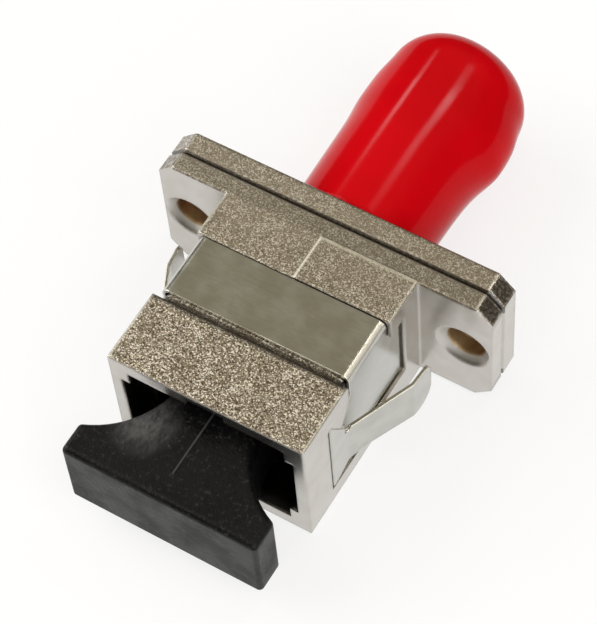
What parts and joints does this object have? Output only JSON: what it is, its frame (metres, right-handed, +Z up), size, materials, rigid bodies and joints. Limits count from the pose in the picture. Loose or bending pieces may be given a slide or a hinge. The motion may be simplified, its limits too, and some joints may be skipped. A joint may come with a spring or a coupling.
{
  "type": "fibre-optic adapter",
  "caption": "Fibre-optic panel adapter joining a rectangular latch port to a round bayonet barrel through a two-plate flange, with spring clip, port plug and barrel cap.",
  "frame": {"origin": "On the light path, in the plane of the flange face that meets the panel: the centre of the two flange holes.", "axes": "Y runs along the light path from the latch port to the bayonet barrel, X across the flange through both holes, Z up towards the side that the clip's band crosses."},
  "size_m": [0.022, 0.0355, 0.0094],
  "materials": {
    "cast_metal": "nickel-plated zinc casting, sand-textured on top and underneath, smooth on the sides",
    "spring_steel": "satin stainless spring sheet",
    "latch_plastic": "satin moulded plastic",
    "holder_metal": "nickel-plated turned metal",
    "sleeve_ceramic": "polished zirconia",
    "plug_plastic": "satin black moulded plastic with a fine grain",
    "cap_vinyl": "glossy soft vinyl"
  },
  "bodies": {
    "adapter": {"sc_housing": "cast_metal", "st_housing": "cast_metal", "mounting_clip": "spring_steel", "latch_insert": "latch_plastic", "sleeve_holder": "holder_metal", "alignment_sleeve": "sleeve_ceramic"},
    "plug": {"sc_dust_plug": "plug_plastic"},
    "cap": {"st_dust_cap": "cap_vinyl"}
  },
  "joints": [
    {"name": "plug_pull", "type": "slide", "parent": "adapter", "child": "plug", "axis": [0, -1, 0], "range_m": [0, 0.008]},
    {"name": "cap_pull", "type": "slide", "parent": "adapter", "child": "cap", "axis": [0, 1, 0], "range_m": [0, 0.0135], "deforming": ["st_dust_cap"]}
  ]
}
